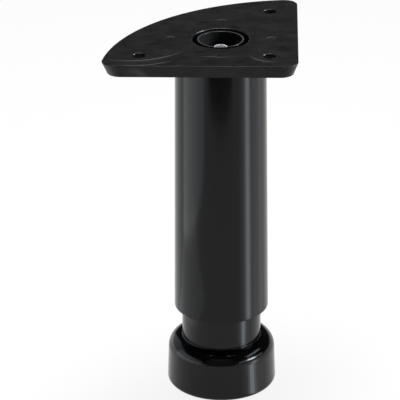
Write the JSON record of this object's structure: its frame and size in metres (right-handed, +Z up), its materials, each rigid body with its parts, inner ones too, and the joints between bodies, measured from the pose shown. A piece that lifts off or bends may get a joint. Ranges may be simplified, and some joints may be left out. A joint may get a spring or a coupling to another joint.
{
  "type": "adjustable cabinet leg",
  "caption": "Black moulded adjustable cabinet leg: quarter-round screw-on plate, slightly tapered tube, and a round foot that a spindle turned through the plate moves up or down.",
  "frame": {"origin": "on the floor under the axis of the tube, at the middle of the sole, with the foot in the middle of its travel", "axes": "+Z up along the tube; the plate's straight edges face -Y and +X, and its round edge -X and +Y"},
  "size_m": [0.0751, 0.0751, 0.15],
  "materials": {
    "plate_plastic": "satin black moulded plastic",
    "tube_plastic": "semi-gloss black moulded plastic",
    "foot_plastic": "gloss black moulded plastic",
    "zinc_steel": "bright zinc plating",
    "spring_steel": "dark oiled spring steel"
  },
  "bodies": {
    "leg_body": {"mounting_plate": "plate_plastic", "outer_tube": "tube_plastic", "thrust_washer": "zinc_steel"},
    "spindle_set": {"spindle": "zinc_steel", "retaining_ring": "spring_steel", "stop_ring": "spring_steel"},
    "foot_set": {"foot": "foot_plastic", "spindle_nut": "zinc_steel", "sole_disc": "plate_plastic"}
  },
  "joints": [
    {"name": "spindle_turn", "type": "hinge", "parent": "leg_body", "child": "spindle_set", "pos_m": [0, 0, 0.128], "axis": [0, 0, 1], "range_deg": [-3744, 3744]},
    {"name": "foot_slide", "type": "slide", "parent": "leg_body", "child": "foot_set", "axis": [0, 0, -1], "range_m": [-0.013, 0.013]}
  ],
  "couplings": [
    {"joint": "spindle_turn", "follows": "foot_slide", "rad_per_m": 5026.5}
  ]
}
